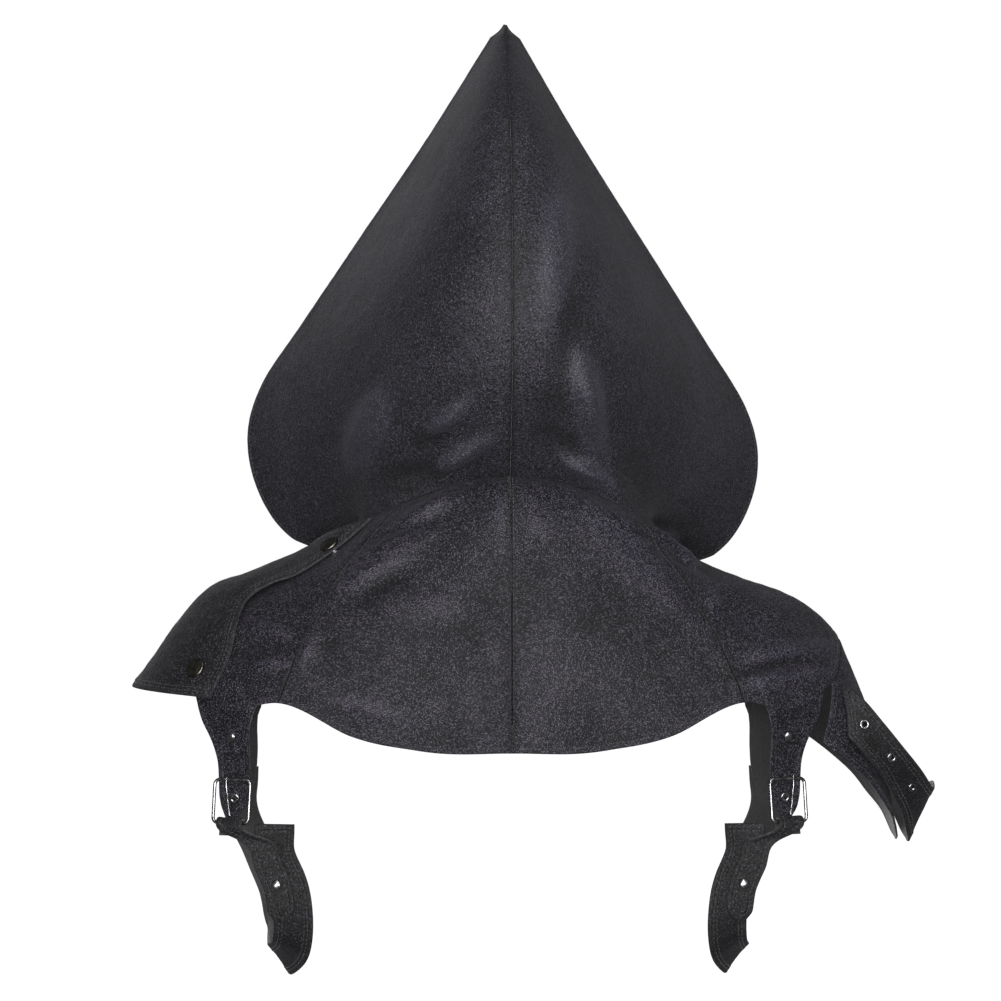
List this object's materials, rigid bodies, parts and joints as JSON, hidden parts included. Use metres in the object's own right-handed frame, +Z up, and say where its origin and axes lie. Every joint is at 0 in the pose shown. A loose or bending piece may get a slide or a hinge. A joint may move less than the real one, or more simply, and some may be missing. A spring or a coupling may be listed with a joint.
{
  "type": "costume hood on a shoulder cape with buckled under-arm straps",
  "caption": "Tall pointed costume hood sewn to a short shoulder cape, with a shoulder flap, buckled under-arm straps and a strapped sleeve cap.",
  "frame": {"origin": "on the neck's axis at the height of the shoulders, where the cape sits on the wearer", "axes": "+Z up to the hood's peak, +Y the way the wearer faces, +X to the wearer's right"},
  "size_m": [0.5314, 0.2357, 0.6331],
  "materials": {
    "hood_leather": "satin black faux suede with a fine speckled sheen",
    "cape_leather": "satin black faux suede with a fine metallic speckle",
    "strap_leather": "satin black faux leather with stitched edges",
    "gunmetal": "polished dark nickel",
    "cap_metal": "polished dark bronze"
  },
  "bodies": {
    "root": {"arm_eyelet_1": "gunmetal", "arm_eyelet_2": "gunmetal", "arm_eyelet_3": "gunmetal", "arm_strap": "strap_leather", "billet_eyelet_left": "gunmetal", "billet_eyelet_right": "gunmetal", "buckle_frame_left": "gunmetal", "buckle_frame_right": "gunmetal", "buckle_prong_left": "gunmetal", "buckle_prong_right": "gunmetal", "chape_left": "strap_leather", "chape_right": "strap_leather", "chape_rivet_left": "gunmetal", "chape_rivet_right": "gunmetal", "front_clasp": "strap_leather", "hood_left": "hood_leather", "hood_right": "hood_leather", "shoulder_flap": "cape_leather", "shoulder_left": "cape_leather", "shoulder_right": "cape_leather", "side_strap_left": "strap_leather", "side_strap_right": "strap_leather", "sleeve_cap": "cape_leather", "snap_cap_arm": "cap_metal", "snap_cap_neck": "cap_metal", "snap_socket_arm": "cap_metal", "snap_socket_neck": "cap_metal", "tab_rivet_left": "gunmetal", "tab_rivet_right": "gunmetal", "yoke_back_left": "cape_leather", "yoke_back_right": "cape_leather", "yoke_front_left": "cape_leather", "yoke_front_right": "cape_leather"}
  },
  "joints": []
}
